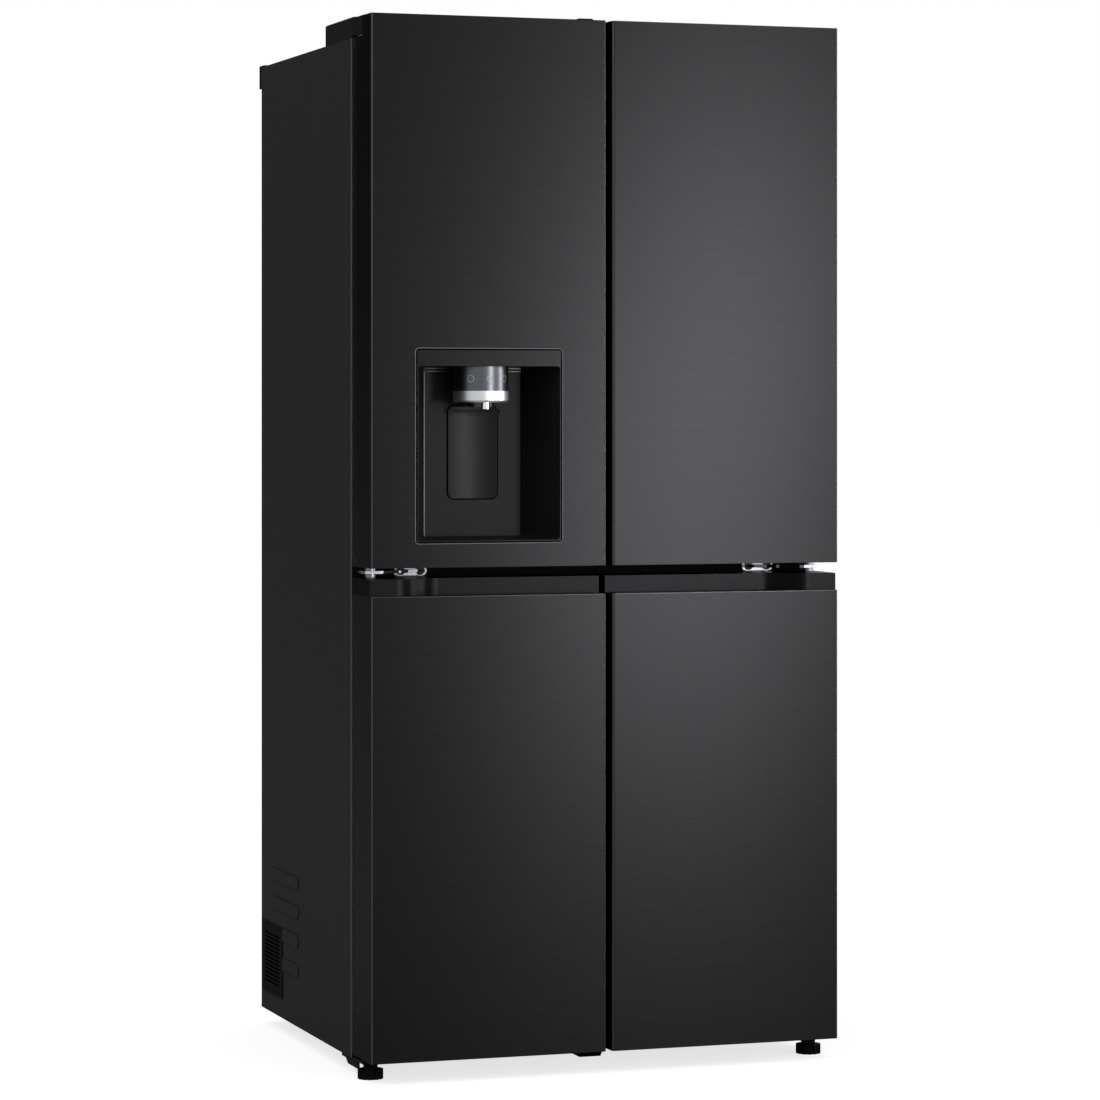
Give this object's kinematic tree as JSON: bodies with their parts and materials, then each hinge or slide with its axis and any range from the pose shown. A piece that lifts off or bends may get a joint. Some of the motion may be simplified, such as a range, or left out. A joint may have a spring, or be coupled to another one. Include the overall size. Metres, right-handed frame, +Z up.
{
  "type": "french door refrigerator",
  "caption": "Tall free-standing refrigerator with french doors above and below, a recessed dispenser, pocket grips, and shelves, drawers and door bins inside.",
  "frame": {"origin": "on the floor, under the middle of the whole outline", "axes": "+X to the viewer's right, -Y is the side with the doors, +Z up"},
  "size_m": [0.835, 0.734, 1.787],
  "materials": {
    "brushed_black_steel": "brushed dark coating on steel sheet",
    "painted_cabinet": "satin dark grey paint",
    "zinc_sheet": "zinc-coated sheet",
    "hinge_steel": "bright plated steel",
    "black_plastic": "moulded, fine texture",
    "grip_plastic": "satin moulded",
    "recess_plastic": "fine moulded texture",
    "gloss_black": "gloss",
    "bright_ring": "bright satin metal",
    "seal_rubber": "soft vinyl",
    "shelf_glass": "clear tempered",
    "clear_plastic": "clear moulded",
    "white_plastic": "satin moulded",
    "foam": "rigid foam",
    "fin_aluminium": "mill",
    "compressor_paint": "black enamel"
  },
  "bodies": {
    "cabinet": {"air_duct": "white_plastic", "back_panel": "zinc_sheet", "base_pan": "zinc_sheet", "bottom_centre_bracket": "black_plastic", "cabinet_foam": "foam", "compressor": "compressor_paint", "condenser": "fin_aluminium", "condenser_fan_motor": "black_plastic", "crisper_drawers": "clear_plastic", "drain_pan": "black_plastic", "evaporator": "fin_aluminium", "evaporator_cover": "white_plastic", "freezer_divider": "white_plastic", "freezer_drawers": "clear_plastic", "freezer_liner": "white_plastic", "fridge_liner": "white_plastic", "front_frame": "painted_cabinet", "glass_shelves": "shelf_glass", "hinge_covers": "black_plastic", "lower_hinges": "painted_cabinet", "machine_cover": "zinc_sheet", "middle_hinges": "hinge_steel", "rear_top_cap": "black_plastic", "side_grilles": "black_plastic", "side_panel_left": "painted_cabinet", "side_panel_right": "painted_cabinet", "top_centre_guide": "black_plastic", "top_hinges": "hinge_steel", "top_panel": "painted_cabinet"},
    "upper_left_door": {"upper_left_skin": "brushed_black_steel", "upper_left_end_caps": "black_plastic", "upper_left_inner": "white_plastic", "upper_left_gasket": "seal_rubber", "left_door_bins": "clear_plastic", "dispenser_bezel": "brushed_black_steel", "dispenser_housing": "recess_plastic", "dispenser_spout": "gloss_black", "spout_ring": "bright_ring", "ice_room": "white_plastic"},
    "upper_right_door": {"upper_right_skin": "brushed_black_steel", "upper_right_end_caps": "black_plastic", "upper_right_inner": "white_plastic", "upper_right_gasket": "seal_rubber", "right_door_bins": "clear_plastic"},
    "lower_left_door": {"lower_left_skin": "brushed_black_steel", "lower_left_inner": "white_plastic", "lower_left_grip": "grip_plastic", "lower_left_gasket": "seal_rubber"},
    "lower_right_door": {"lower_right_skin": "brushed_black_steel", "lower_right_inner": "white_plastic", "lower_right_grip": "grip_plastic", "lower_right_gasket": "seal_rubber"},
    "centre_flap": {"centre_flap": "white_plastic"},
    "dispenser_paddle": {"dispenser_paddle": "recess_plastic"},
    "levelling_foot_left": {"levelling_foot_left": "black_plastic"},
    "levelling_foot_right": {"levelling_foot_right": "black_plastic"},
    "rear_roller_left": {"rear_roller_left": "black_plastic"},
    "rear_roller_right": {"rear_roller_right": "black_plastic"},
    "condenser_fan": {"condenser_fan": "black_plastic"},
    "evaporator_fan": {"evaporator_fan": "white_plastic"}
  },
  "joints": [
    {"name": "upper_left_hinge", "type": "hinge", "parent": "cabinet", "child": "upper_left_door", "pos_m": [-0.3955, -0.287, 1.3135], "axis": [0, 0, -1], "range_deg": [0, 110]},
    {"name": "upper_right_hinge", "type": "hinge", "parent": "cabinet", "child": "upper_right_door", "pos_m": [0.3955, -0.287, 1.3135], "axis": [0, 0, 1], "range_deg": [0, 110]},
    {"name": "lower_left_hinge", "type": "hinge", "parent": "cabinet", "child": "lower_left_door", "pos_m": [-0.3955, -0.287, 0.436], "axis": [0, 0, -1], "range_deg": [0, 110]},
    {"name": "lower_right_hinge", "type": "hinge", "parent": "cabinet", "child": "lower_right_door", "pos_m": [0.3955, -0.287, 0.436], "axis": [0, 0, 1], "range_deg": [0, 110]},
    {"name": "flap_turn", "type": "hinge", "parent": "upper_left_door", "child": "centre_flap", "pos_m": [-0.04, -0.2345, 1.29], "axis": [0, 0, -1], "range_deg": [0, 90]},
    {"name": "paddle_press", "type": "hinge", "parent": "upper_left_door", "child": "dispenser_paddle", "pos_m": [-0.212, -0.2695, 1.114], "axis": [1, 0, 0], "range_deg": [0, 7], "stiffness_Nm_per_rad": 1.5, "springref_deg": -5.73},
    {"name": "foot_turn_left", "type": "hinge", "parent": "cabinet", "child": "levelling_foot_left", "pos_m": [-0.3955, -0.287, 0.01], "axis": [0, 0, 1], "range_deg": [-360, 360]},
    {"name": "roller_spin_left", "type": "hinge", "parent": "cabinet", "child": "rear_roller_left", "pos_m": [-0.354, 0.178, 0.024], "axis": [1, 0, 0], "continuous": true},
    {"name": "foot_turn_right", "type": "hinge", "parent": "cabinet", "child": "levelling_foot_right", "pos_m": [0.3955, -0.287, 0.01], "axis": [0, 0, 1], "range_deg": [-360, 360]},
    {"name": "roller_spin_right", "type": "hinge", "parent": "cabinet", "child": "rear_roller_right", "pos_m": [0.354, 0.178, 0.024], "axis": [1, 0, 0], "continuous": true},
    {"name": "condenser_fan_spin", "type": "hinge", "parent": "cabinet", "child": "condenser_fan", "pos_m": [-0.2082, 0.24025, 0.122], "axis": [1, 0, 0], "continuous": true},
    {"name": "evaporator_fan_spin", "type": "hinge", "parent": "cabinet", "child": "evaporator_fan", "pos_m": [0, 0.26, 0.71425], "axis": [0, 1, 0], "continuous": true}
  ]
}
